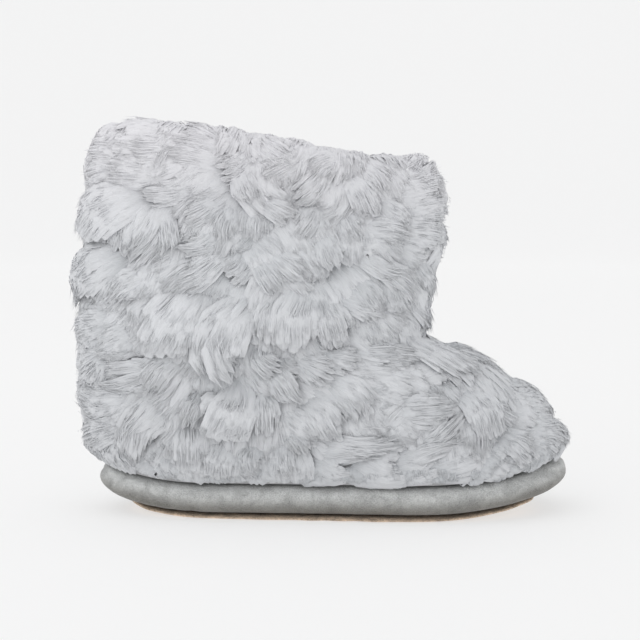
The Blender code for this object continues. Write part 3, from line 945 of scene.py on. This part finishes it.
def heading_field(skin, guides, points):
    """The heading of the nearest guide locks at each point, mirrored on the inner side and
    straight down along the middle of the front and the back."""
    guide_points = skin.at(skin.points, guides["row"], guides["column"])
    seen = points.copy()
    seen[:, 1] = -np.abs(points[:, 1])
    apart = np.linalg.norm(seen[:, None] - guide_points[None], axis=2)
    weight = 1 / (apart**2 + GUIDE_CORE**2) ** 2
    middle = np.exp(-((points[:, 1] / MIDDLE_STRIP) ** 2))
    down = (1 + 8 * middle) / GUIDE_REACH**4
    cosine = (weight * np.cos(guides["heading"])).sum(1) + down
    sine = (weight * np.sin(guides["heading"])).sum(1)
    heading = np.arctan2(sine, cosine)
    return np.where(points[:, 1] > 0, -heading, heading)


def drawn_locks(kind, row, column, heading, fullest, draws):
    """Small locks of a kind at these places, with their sizes drawn between its bounds.
    Fullest is the height that a lift of 1 stands for."""
    turn, sway, root, ragged = SMALL_SHAPES[kind]
    number = row.size
    locks = {"row": row, "column": column, "heading": heading}
    locks["turn"] = draws.normal(0, turn, number)
    for key, bounds in zip(("length", "width", "lift", "fall", "fan"), SMALL_BOUNDS[kind]):
        locks[key] = draws.uniform(*bounds, number)
    locks["lift"] *= fullest
    for key, value in (("root", root), ("ragged", ragged), ("plump", SMALL_PLUMP)):
        locks[key] = np.full(number, value)
    locks["sway"] = draws.normal(0, sway, number)
    return locks


def filler_locks(skin, fur, guides, draws):
    """Small locks in staggered rows, which lie along the main ones and fill between."""
    rows, columns, lengths = [], [], []
    heights = np.linalg.norm(skin.along, axis=2).mean(axis=1)
    for seam in range(TOP_SEAM):
        middle = skin.first_row + seam * RINGS_PER_SEAM + RINGS_PER_SEAM // 2
        tall = heights[middle] * RINGS_PER_SEAM
        for part, reach in ((0.98, 1.45), (0.50, 1.15)):
            row = skin.first_row + (seam + part) * RINGS_PER_SEAM
            around = np.linalg.norm(skin.around[int(row)], axis=1).sum()
            locks = int(around / fur.filler_spacing)
            columns.append((np.arange(locks) + draws.uniform(0, 1)) / locks * COLUMNS)
            rows.append(np.full(locks, row))
            lengths.append(np.full(locks, max(reach * tall, SHORTEST_FILLER)))
    row = np.concatenate(rows)
    row = row + draws.normal(0, 0.8, row.size)
    column = np.concatenate(columns) + draws.normal(0, 1.0, row.size)
    points = skin.at(skin.points, row, column)
    heading = heading_field(skin, guides, points) + draws.normal(0, 0.11, row.size)
    made = drawn_locks("filler", row, column, heading, fur.lock_lift, draws)
    made["heading"] = heading - made["turn"] / 2
    made["length"] *= np.concatenate(lengths)
    made["width"] *= fur.filler_spacing
    return made


def hem_locks(skin, fur, draws):
    """A close row of short locks along the seam with the sole."""
    around = np.linalg.norm(skin.around[skin.first_row + 4], axis=1).sum()
    number = int(around / HEM_SPACING)
    row = skin.first_row + draws.uniform(4.5, 7.5, number)
    column = np.arange(number) / number * COLUMNS + draws.normal(0, 0.8, number)
    heading = draws.normal(0, 0.30, number)
    return drawn_locks("hem", row, column, heading, fur.lock_lift, draws)


def bare_places(skin, made):
    """Rows and columns of the places that no lock comes near."""
    spots = []
    for locks in made:
        rows, columns, _ = walk(skin, locks)
        spots.append(skin.at(skin.points, rows[:, 2:].ravel(), columns[:, 2:].ravel()))
    spots = np.concatenate(spots)
    bare, taken = [], []
    for column in np.arange(0, COLUMNS, 3.0):
        for row in np.arange(skin.first_row + 4.0, skin.rim_row, 3):
            place = skin.at(skin.points, np.array([row]), np.array([column]))[0]
            clear = np.linalg.norm(spots - place, axis=1).min() > GAP_REACH
            if clear and all(np.linalg.norm(place - other) > GAP_SPACING for other in taken):
                taken.append(place)
                bare.append((row, column))
    return np.array(bare).T


def gap_locks(skin, fur, guides, made, draws):
    """Locks for the places that all the others leave bare."""
    row, column = bare_places(skin, made)
    heading = heading_field(skin, guides, skin.at(skin.points, row, column))
    back_row, back_column = skin.move(row, column, heading + math.pi)
    row, column = row + back_row * GAP_ROOT, column + back_column * GAP_ROOT
    return drawn_locks("gap", row, column, heading, fur.lock_lift, draws)


def rim_locks(skin, fur, guides, draws):
    """Short soft locks that stand on the rim and fall over its outside."""
    step = np.arange(RIM_LOCKS)
    column = step / RIM_LOCKS * COLUMNS + draws.normal(0, 0.8, RIM_LOCKS)
    past_rim = np.array(RIM_ROWS)[step % 2]
    row = skin.rim_row + past_rim + draws.normal(0, 0.8, RIM_LOCKS)
    points = skin.at(skin.points, row, column)
    heading = 0.45 * heading_field(skin, guides, points) + draws.normal(0, 0.15, RIM_LOCKS)
    return drawn_locks("rim", row, column, heading, fur.lock_lift, draws)


def facing_locks(skin, draws):
    """Deep locks that fall from the rim down inside the collar."""
    rows, columns, lifts = [], [], []
    for k, (past_rim, lift) in enumerate(FACING_ROWS):
        rows.append(np.full(FACING_LOCKS, skin.rim_row + past_rim))
        columns.append((np.arange(FACING_LOCKS) + 0.5 * (k % 2)) / FACING_LOCKS * COLUMNS)
        lifts.append(np.full(FACING_LOCKS, lift))
    number = len(FACING_ROWS) * FACING_LOCKS
    row = np.concatenate(rows) + draws.normal(0, 0.6, number)
    column = np.concatenate(columns) + draws.normal(0, 1.0, number)
    heading = math.pi + np.clip(draws.normal(0, 0.30, number), -0.4, 0.4)
    return drawn_locks("facing", row, column, heading, np.concatenate(lifts), draws)


def chosen(locks, mask):
    return {key: values[mask] for key, values in locks.items()}


def new_material(name, colour, roughness):
    material = bpy.data.materials.new(name)
    material.use_nodes = True
    shader = material.node_tree.nodes["Principled BSDF"]
    shader.inputs["Base Color"].default_value = (*colour, 1.0)
    shader.inputs["Roughness"].default_value = roughness
    return material, shader


def add_node(tree, kind, inputs=None, **settings):
    """A node with its settings, and its input values or links by socket name."""
    node = tree.nodes.new(kind)
    for key, value in settings.items():
        setattr(node, key, value)
    for key, value in (inputs or {}).items():
        if isinstance(value, bpy.types.NodeSocket):
            tree.links.new(value, node.inputs[key])
        else:
            node.inputs[key].default_value = value
    return node


def mix_colour(tree, share, first, second):
    """A colour mix whose ends are colours or sockets."""
    node = tree.nodes.new("ShaderNodeMix")
    node.data_type = "RGBA"
    for k, value in ((0, share), (6, first), (7, second)):
        socket = node.inputs[k]
        if isinstance(value, bpy.types.NodeSocket):
            tree.links.new(value, socket)
        else:
            socket.default_value = value if isinstance(value, float) else (*value[:3], 1.0)
    return node.outputs[2]


def ranged(tree, value, start, end, low=0.0, high=1.0, **settings):
    """The value's run from start to end, mapped onto the run from low to high."""
    inputs = {"Value": value, "From Min": start, "From Max": end, "To Min": low, "To Max": high}
    return add_node(tree, "ShaderNodeMapRange", inputs, **settings).outputs["Result"]


def noise(tree, place, scale, detail, distortion=0.0):
    inputs = {"Vector": place, "Scale": scale, "Detail": detail, "Distortion": distortion}
    return add_node(tree, "ShaderNodeTexNoise", inputs).outputs["Fac"]


def math_of(tree, operation, first, second):
    inputs = {0: first, 1: second}
    return add_node(tree, "ShaderNodeMath", inputs, operation=operation).outputs[0]


def brightened(tree, colour, value):
    inputs = {"Color": colour, "Value": value}
    return add_node(tree, "ShaderNodeHueSaturation", inputs).outputs["Color"]


def add_bump(tree, shader, height, strength, distance):
    inputs = {"Height": height, "Strength": strength, "Distance": distance}
    bump = add_node(tree, "ShaderNodeBump", inputs)
    tree.links.new(bump.outputs["Normal"], shader.inputs["Normal"])


def attribute(tree, name, output="Fac"):
    return add_node(tree, "ShaderNodeAttribute", attribute_name=name).outputs[output]


def object_place(tree):
    return add_node(tree, "ShaderNodeTexCoord").outputs["Object"]


def fur_material(colours):
    """Pale plush fur: painted shade towards the roots and low on the shoe, streaked along each
    tuft, warmer at the collar.
    """
    material, shader = new_material("slipper_fur", colours.fur_tip, 0.8)
    tree = material.node_tree
    streak = noise(tree, attribute(tree, "flow", "Vector"), 1.6, 2.5)
    # Painted shade: darker towards each strand's root
    depth = ranged(tree, attribute(tree, "along"), 0.0, 0.7)
    mood = ranged(tree, attribute(tree, "tone"), 0.0, 1.0, 0.96, 1.04)
    line = ranged(tree, streak, 0.3, 0.7, 0.94, 1.04)
    place = object_place(tree)
    height = add_node(tree, "ShaderNodeSeparateXYZ", {"Vector": place}).outputs["Z"]
    # Painted shade: the fur is drawn darker low on the shoe, as the light falls from above
    low_shade = ranged(tree, height, *LOW_SHADE_HEIGHTS, 0.91, 1.0)
    blush = ranged(tree, height, *BLUSH_HEIGHTS, 0.0, 0.70)
    value = math_of(tree, "MULTIPLY", math_of(tree, "MULTIPLY", mood, line), low_shade)
    # Painted shade: the fur's colour runs from the darker root shade to the tips
    base = mix_colour(tree, depth, colours.fur_root_shade, colours.fur_tip)
    base = mix_colour(tree, blush, brightened(tree, base, value), colours.collar_blush)
    tree.links.new(base, shader.inputs["Base Color"])
    add_bump(tree, shader, streak, 0.6, 0.0008)
    shader.inputs["Sheen Weight"].default_value = 0.2
    shader.inputs["Sheen Roughness"].default_value = 0.5
    shader.inputs["Specular IOR Level"].default_value = 0.2
    return material


def pelt_material(colours):
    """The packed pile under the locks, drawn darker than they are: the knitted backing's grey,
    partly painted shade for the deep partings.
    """
    material, shader = new_material("slipper_pelt", colours.backing, 0.95)
    tree = material.node_tree
    pile = noise(tree, object_place(tree), 900.0, 3.0)
    # Painted shade: the backing's grey mottled with the fur's painted root shade
    base = mix_colour(tree, pile, colours.backing, colours.fur_root_shade)
    tree.links.new(base, shader.inputs["Base Color"])
    add_bump(tree, shader, pile, 0.6, 0.001)
    return material


def nap_group():
    """Brushed nap: soft patches where the pile lies another way, and a fine grain."""
    group = bpy.data.node_groups.new("brushed_nap", "ShaderNodeTree")
    new_socket = group.interface.new_socket
    new_socket("Colour", in_out="INPUT", socket_type="NodeSocketColor")
    for label, value in (("Patch Size", 60.0), ("Grain Size", 1500.0), ("Contrast", 0.25)):
        socket = new_socket(label, in_out="INPUT", socket_type="NodeSocketFloat")
        socket.default_value = value
    new_socket("Colour", in_out="OUTPUT", socket_type="NodeSocketColor")
    new_socket("Height", in_out="OUTPUT", socket_type="NodeSocketFloat")
    inside = group.nodes.new("NodeGroupInput").outputs
    outside = group.nodes.new("NodeGroupOutput").inputs
    place = object_place(group)
    patches = noise(group, place, inside["Patch Size"], 4.0, 0.8)
    grain = noise(group, place, inside["Grain Size"], 2.0)
    both = math_of(group, "ADD", patches, grain)
    level = math_of(group, "SUBTRACT", both, 1.0)
    swing = math_of(group, "MULTIPLY", level, inside["Contrast"])
    value = math_of(group, "ADD", swing, 1.0)
    group.links.new(brightened(group, inside["Colour"], value), outside["Colour"])
    group.links.new(both, outside["Height"])
    return group


def napped_material(name, colour):
    """A suede or fleece, and its nap node, whose colour may be linked."""
    patch, grain, contrast, strength, depth, sheen = NAPS[name]
    material, shader = new_material(name, colour, 0.9)
    tree = material.node_tree
    group = bpy.data.node_groups.get("brushed_nap") or nap_group()
    inputs = {"Patch Size": patch, "Grain Size": grain, "Contrast": contrast}
    nap = add_node(tree, "ShaderNodeGroup", inputs, node_tree=group)
    nap.inputs["Colour"].default_value = (*colour, 1.0)
    tree.links.new(nap.outputs["Colour"], shader.inputs["Base Color"])
    add_bump(tree, shader, nap.outputs["Height"], strength, depth)
    shader.inputs["Sheen Weight"].default_value = sheen
    shader.inputs["Specular IOR Level"].default_value = 0.2
    return material, nap


def dress(piece, material):
    """Gives a piece its material and its body."""
    piece.data.materials.clear()
    piece.data.materials.append(material)
    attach(piece, "root")
    return piece


def copy_of_node(node, name, levels):
    """A merged copy of a CAD solid with its quads back, subdivided and applied."""
    bpy.ops.object.select_all(action="DESELECT")
    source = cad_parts[node]
    piece = link(name, source.data.copy())
    bpy.context.view_layer.objects.active = piece
    piece.select_set(True)
    bpy.ops.object.mode_set(mode="EDIT")
    bpy.ops.mesh.select_all(action="SELECT")
    bpy.ops.mesh.remove_doubles(threshold=0.00002)
    bpy.ops.mesh.tris_convert_to_quads(face_threshold=0.9, shape_threshold=0.9)
    bpy.ops.object.mode_set(mode="OBJECT")
    smooth = piece.modifiers.new("smooth", "SUBSURF")
    smooth.levels = levels
    smooth.render_levels = levels
    bpy.ops.object.modifier_apply(modifier=smooth.name)
    bpy.ops.object.shade_smooth()
    return piece


def read_points(mesh):
    points = np.empty(len(mesh.vertices) * 3)
    mesh.vertices.foreach_get("co", points)
    return points.reshape(-1, 3)


def read_normals(mesh):
    normals = np.empty(len(mesh.vertices) * 3)
    mesh.vertices.foreach_get("normal", normals)
    return normals.reshape(-1, 3)


class SLIPPER_OT_pelt(bpy.types.Operator):
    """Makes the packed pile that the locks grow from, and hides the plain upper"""

    bl_idname = "slipper.pelt"
    bl_label = "Pelt"

    def execute(self, context):
        scene = context.scene
        sizes = scene.slipper_sizes
        skin = Skin(sizes)
        outer = skin.points[skin.first_row :: 2, ::2]
        inner = [skin.cloth(s) - skin.outward(s) * sizes.cloth_wall for s in INNER_SEAMS]
        pelt = loft("pelt", np.concatenate([outer, np.array(inner)[:, ::2]]))
        dress(pelt, pelt_material(scene.slipper_colours))
        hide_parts("upper")
        return {"FINISHED"}


class SLIPPER_OT_fur(bpy.types.Operator):
    """Combs the locks of the outside, the collar and its facing"""

    bl_idname = "slipper.fur"
    bl_label = "Fur"

    def execute(self, context):
        scene = context.scene
        fur = scene.slipper_fur
        skin = Skin(scene.slipper_sizes)
        material = fur_material(scene.slipper_colours)
        draws = np.random.default_rng(fur.seed)
        locks = self.all_locks(skin, fur, scene.slipper_sizes.instep_height, draws)
        for name, (tufts_each, strands_each, hairs_each) in BATCHES.items():
            batch = locks[name]
            spines = walk(skin, batch)
            tufts = tufts_of(batch, tufts_each, draws)
            bodies = tuft_bodies(skin, batch, spines, tufts, draws)
            dress(weave("tufts_" + name, *bodies, draws), material)
            kinds = (("strands_", LONG_STRAND, strands_each), ("hairs_", TIP_HAIR, hairs_each))
            for label, kind, count in kinds:
                made = loose_strands(
                    skin, batch, spines, tufts, count, kind, fur.strand_width, draws
                )
                dress(weave(label + name, *made, draws), material)
        return {"FINISHED"}

    def all_locks(self, skin, fur, instep, draws):
        """The locks of each batch by its name."""
        outer = main_locks(skin, fur, False, draws)
        inner = main_locks(skin, fur, True, draws)
        filler = filler_locks(skin, fur, outer, draws)
        rim = rim_locks(skin, fur, outer, draws)
        gap = gap_locks(skin, fur, outer, (outer, inner, filler, rim), draws)
        hem = hem_locks(skin, fur, draws)
        filler = {key: np.concatenate([filler[key], gap[key], hem[key]]) for key in filler}
        for locks in (outer, inner, filler):
            keep_off_the_sole(skin, locks)
        places = skin.at(skin.points, filler["row"], filler["column"])
        low, near = places[:, 2] < instep, places[:, 1] < 0
        return {
            "outer_locks": outer,
            "inner_locks": inner,
            "outer_foot": chosen(filler, low & near),
            "inner_foot": chosen(filler, low & ~near),
            "outer_shaft": chosen(filler, ~low & near),
            "inner_shaft": chosen(filler, ~low & ~near),
            "rim": rim,
            "facing": facing_locks(skin, draws),
        }


class SLIPPER_OT_lining(bpy.types.Operator):
    """Makes the dark lining below the furry facing"""

    bl_idname = "slipper.lining"
    bl_label = "Lining"

    def execute(self, context):
        scene = context.scene
        sizes = scene.slipper_sizes
        skin = Skin(sizes)
        faces = []
        for inset in (sizes.cloth_wall + LINING_INNER, sizes.cloth_wall + LINING_OUTER):
            faces.append([skin.cloth(s) - skin.outward(s) * inset for s in LINING_SEAMS])
        inner, outer = faces
        lining = loft("lining", np.array(inner + outer[::-1])[:, ::2])
        material, _ = napped_material("slipper_lining", scene.slipper_colours.lining)
        dress(lining, material)
        return {"FINISHED"}


def fold_depth(x, height, folds, tall):
    """How deep the troughs are at places on the side, in metres."""
    depth = np.zeros(len(x))
    for from_x, from_height, to_x, to_height, width, deep in folds:
        start = np.array([from_x / 1000, from_height * tall])
        chord = np.array([to_x / 1000, to_height * tall]) - start
        place = np.stack([x, height], axis=1) - start
        share = np.clip(place @ chord / (chord @ chord), 0, 1)
        apart = np.linalg.norm(place - share[:, None] * chord, axis=1)
        depth += deep / 1000 * np.exp(-((apart * 1000 / width) ** 2))
    return depth


def write_points(mesh, points):
    mesh.vertices.foreach_set("co", points.astype(np.float32).reshape(-1))
    mesh.update()


def shape_wrap(points, sizes):
    """Puffs the wrap, folds it as listed and draws it in under the fur. Gives the new points
    and each one's share of the wrap's height."""
    skin = Skin(sizes)
    x, y, z = points.T
    height = z - OUTSOLE_THICKNESS - spring(sizes, x)
    share = np.clip(height / WRAP_HEIGHT, 0, 1)
    seam = skin.points[skin.first_row]
    level = unit(skin.outward(0.3) * (1, 1, 0))
    apart = (x[:, None] - seam[:, 0]) ** 2 + (y[:, None] - seam[:, 1]) ** 2
    nearest = np.argmin(apart, axis=1)
    side = ease(1 - np.sqrt(apart.min(axis=1)) / SIDE_REACH)
    around = nearest * np.linalg.norm(skin.around[skin.first_row], axis=1).mean()
    mirrored = [(-a, b, -c, d, e, f) for a, b, c, d, e, f in WRAP_FOLDS]
    near = fold_depth(x, height, WRAP_FOLDS, WRAP_HEIGHT)
    far = fold_depth(x, height, mirrored, WRAP_HEIGHT)
    swells = SWELL * np.sin(around / 0.0135 + 1.3 * np.sin(around / 0.047))
    swells = swells * np.sin(np.pi * share)
    sideways = np.abs(level[nearest][:, 1])
    puff = PUFF * np.sin(np.pi * share**0.85) * (0.35 + 0.65 * sideways)
    groove = GROOVE * ease((share - 0.80) / 0.18)
    lumps = LUMP * np.sin(around / 0.0051 + 2.0 * np.sin(around / 0.021))
    puckers = PUCKER * np.sin(around / 0.0023 + 1.0) * ease((share - 0.55) / 0.4)
    ripple = (lumps + puckers) * np.sin(np.pi * share) ** 0.5
    folds = FOLD_FULLNESS * np.where(y < 0, near, far)
    push = side * (puff - groove - folds + ripple + swells)
    return points + level[nearest] * push[:, None], share


def wrap_material(colours):
    """Grey suede, with painted shade towards the floor and a painted shadow in the seam under the
    fur.
    """
    material, nap = napped_material("slipper_suede", colours.suede)
    tree = material.node_tree
    share = attribute(tree, "share")
    # Painted shade: darker towards the floor
    shadowed = ranged(tree, share, *WRAP_SHADE_SHARES, interpolation_type="SMOOTHSTEP")
    base = mix_colour(tree, shadowed, colours.suede_shade_low, colours.suede)
    # Painted shadow in the seam under the fur
    base = mix_colour(tree, ranged(tree, share, *SEAM_SHADOW_SHARES), base, colours.seam)
    tree.links.new(base, nap.inputs["Colour"])
    return material


class SLIPPER_OT_wrap(bpy.types.Operator):
    """Makes the foam platform in its suede wrap, with its soft folds"""

    bl_idname = "slipper.wrap"
    bl_label = "Platform wrap"

    def execute(self, context):
        wrap = copy_of_node("midsole", "platform_wrap", 2)
        points, share = shape_wrap(read_points(wrap.data), context.scene.slipper_sizes)
        write_points(wrap.data, points)
        layer = wrap.data.attributes.new("share", "FLOAT", "POINT")
        layer.data.foreach_set("value", share.astype(np.float32))
        dress(wrap, wrap_material(context.scene.slipper_colours))
        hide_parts("midsole")
        return {"FINISHED"}


class SLIPPER_OT_tread(bpy.types.Operator):
    """Makes the outsole of mottled tan suede, with its uneven cut edge"""

    bl_idname = "slipper.tread"
    bl_label = "Tread"

    def execute(self, context):
        tread = copy_of_node("outsole", "tread", 2)
        points = read_points(tread.data)
        points *= TREAD_SPREAD
        x, y, _ = points.T
        reach = np.hypot(x, y)
        wobble = np.sin(x / 0.0043 + 3 * np.sin(x / 0.019)) * np.sin(y / 0.008 + 1.0)
        wobble = TREAD_WOBBLE * wobble
        points[:, 0] += x / reach * wobble
        points[:, 1] += y / reach * wobble
        write_points(tread.data, points)
        material, _ = napped_material("slipper_tread", context.scene.slipper_colours.tread)
        dress(tread, material)
        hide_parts("outsole")
        return {"FINISHED"}


class SLIPPER_OT_footbed(bpy.types.Operator):
    """Makes the fleece footbed"""

    bl_idname = "slipper.footbed"
    bl_label = "Footbed"

    def execute(self, context):
        footbed = copy_of_node("insole", "footbed", 2)
        material, _ = napped_material("slipper_fleece", context.scene.slipper_colours.footbed)
        dress(footbed, material)
        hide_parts("insole")
        return {"FINISHED"}


class SLIPPER_OT_stage(bpy.types.Operator):
    """Lays the pale floor and backdrop, hangs the lights and sets the camera"""

    bl_idname = "slipper.stage"
    bl_label = "Stage"

    def execute(self, context):
        scene = context.scene
        self.bowl()
        for name, (place, width, power) in LIGHTS.items():
            self.light(name, place, width, power)
        world = scene.world or bpy.data.worlds.new("studio")
        scene.world = world
        world.use_nodes = True
        background = world.node_tree.nodes["Background"]
        background.inputs["Color"].default_value = (0.94, 0.95, 0.96, 1.0)
        background.inputs["Strength"].default_value = 0.60
        scene.view_settings.view_transform = "Standard"
        self.camera(scene)
        return {"FINISHED"}

    def bowl(self):
        """A round floor that turns up into a low wall, so every view has one backdrop."""
        bpy.ops.object.select_all(action="DESELECT")
        bpy.ops.mesh.primitive_circle_add(vertices=96, radius=3.6, fill_type="NGON")
        bowl = bpy.context.object
        bowl.name = "studio_bowl"
        bpy.ops.object.mode_set(mode="EDIT")
        bpy.ops.mesh.select_all(action="SELECT")
        bpy.ops.mesh.normals_make_consistent(inside=False)
        bpy.ops.mesh.region_to_loop()
        bpy.ops.mesh.extrude_region_move(TRANSFORM_OT_translate={"value": (0, 0, 3.0)})
        mesh = bmesh.from_edit_mesh(bowl.data)
        for face in mesh.faces:
            face.select_set(len(face.verts) > 4)
        bmesh.update_edit_mesh(bowl.data)
        bpy.ops.mesh.region_to_loop()
        bpy.ops.mesh.bevel(offset=1.2, segments=18)
        bpy.ops.object.mode_set(mode="OBJECT")
        bpy.ops.object.shade_smooth()
        material, shader = new_material("studio_white", (0.36, 0.36, 0.36), 0.9)
        tree = material.node_tree
        place = {"Vector": object_place(tree)}
        reach = add_node(tree, "ShaderNodeVectorMath", place, operation="LENGTH").outputs["Value"]
        glow = mix_colour(tree, ranged(tree, reach, *FLOOR_REACH), *FLOOR_GLOW)
        tree.links.new(glow, shader.inputs["Emission Color"])
        shader.inputs["Emission Strength"].default_value = 1.0
        bowl.data.materials.append(material)

    def light(self, name, place, width, power):
        data = bpy.data.lights.new(name, "AREA")
        data.shape = "DISK"
        data.size = width
        data.energy = power
        lamp = bpy.data.objects.new(name, data)
        bpy.context.scene.collection.objects.link(lamp)
        lamp.location = place
        aim = Vector((0.0, 0.0, 0.10)) - lamp.location
        lamp.rotation_euler = aim.to_track_quat("-Z", "Y").to_euler()

    def camera(self, scene):
        """Level with the shoe's side, as the photograph is, through a long lens."""
        data = bpy.data.cameras.new("camera")
        data.lens = 100.0
        data.sensor_width = 36.0
        camera = bpy.data.objects.new("camera", data)
        scene.collection.objects.link(camera)
        target = Vector((-0.007, 0.0, 0.104))
        elevation = math.radians(5.0)
        distance = 0.98
        back = Vector((0.0, -math.cos(elevation), math.sin(elevation)))
        camera.location = target + back * distance
        camera.rotation_euler = (-back).to_track_quat("-Z", "Y").to_euler()
        data.clip_start = 0.05
        data.clip_end = 50.0
        scene.camera = camera


class SLIPPER_PT_panel(bpy.types.Panel):
    """The slipper's sizes, fur and colours, and a button for each piece"""

    bl_label = "Slipper"
    bl_idname = "SLIPPER_PT_panel"
    bl_space_type = "VIEW_3D"
    bl_region_type = "UI"
    bl_category = "Slipper"

    def draw(self, context):
        layout = self.layout
        for name, _ in GROUPS:
            group = getattr(context.scene, name)
            box = layout.box()
            for key in group.bl_rna.properties.keys():
                if key not in ("rna_type", "name"):
                    box.prop(group, key)
        for operator in OPERATORS:
            layout.operator(operator.bl_idname)


OPERATORS = (
    SLIPPER_OT_pelt,
    SLIPPER_OT_fur,
    SLIPPER_OT_lining,
    SLIPPER_OT_wrap,
    SLIPPER_OT_tread,
    SLIPPER_OT_footbed,
    SLIPPER_OT_stage,
)
GROUPS = (
    ("slipper_sizes", SlipperSizes),
    ("slipper_fur", SlipperFur),
    ("slipper_colours", SlipperColours),
)


def register():
    for name, group in GROUPS:
        bpy.utils.register_class(group)
        setattr(bpy.types.Scene, name, PointerProperty(type=group))
    for operator in OPERATORS:
        bpy.utils.register_class(operator)
    bpy.utils.register_class(SLIPPER_PT_panel)


def unregister():
    bpy.utils.unregister_class(SLIPPER_PT_panel)
    for operator in reversed(OPERATORS):
        bpy.utils.unregister_class(operator)
    for name, group in reversed(GROUPS):
        delattr(bpy.types.Scene, name)
        bpy.utils.unregister_class(group)


def main():
    register()
    bpy.ops.slipper.pelt()
    bpy.ops.slipper.fur()
    bpy.ops.slipper.lining()
    bpy.ops.slipper.wrap()
    bpy.ops.slipper.tread()
    bpy.ops.slipper.footbed()
    bpy.ops.slipper.stage()


if __name__ == "__main__":
    main()
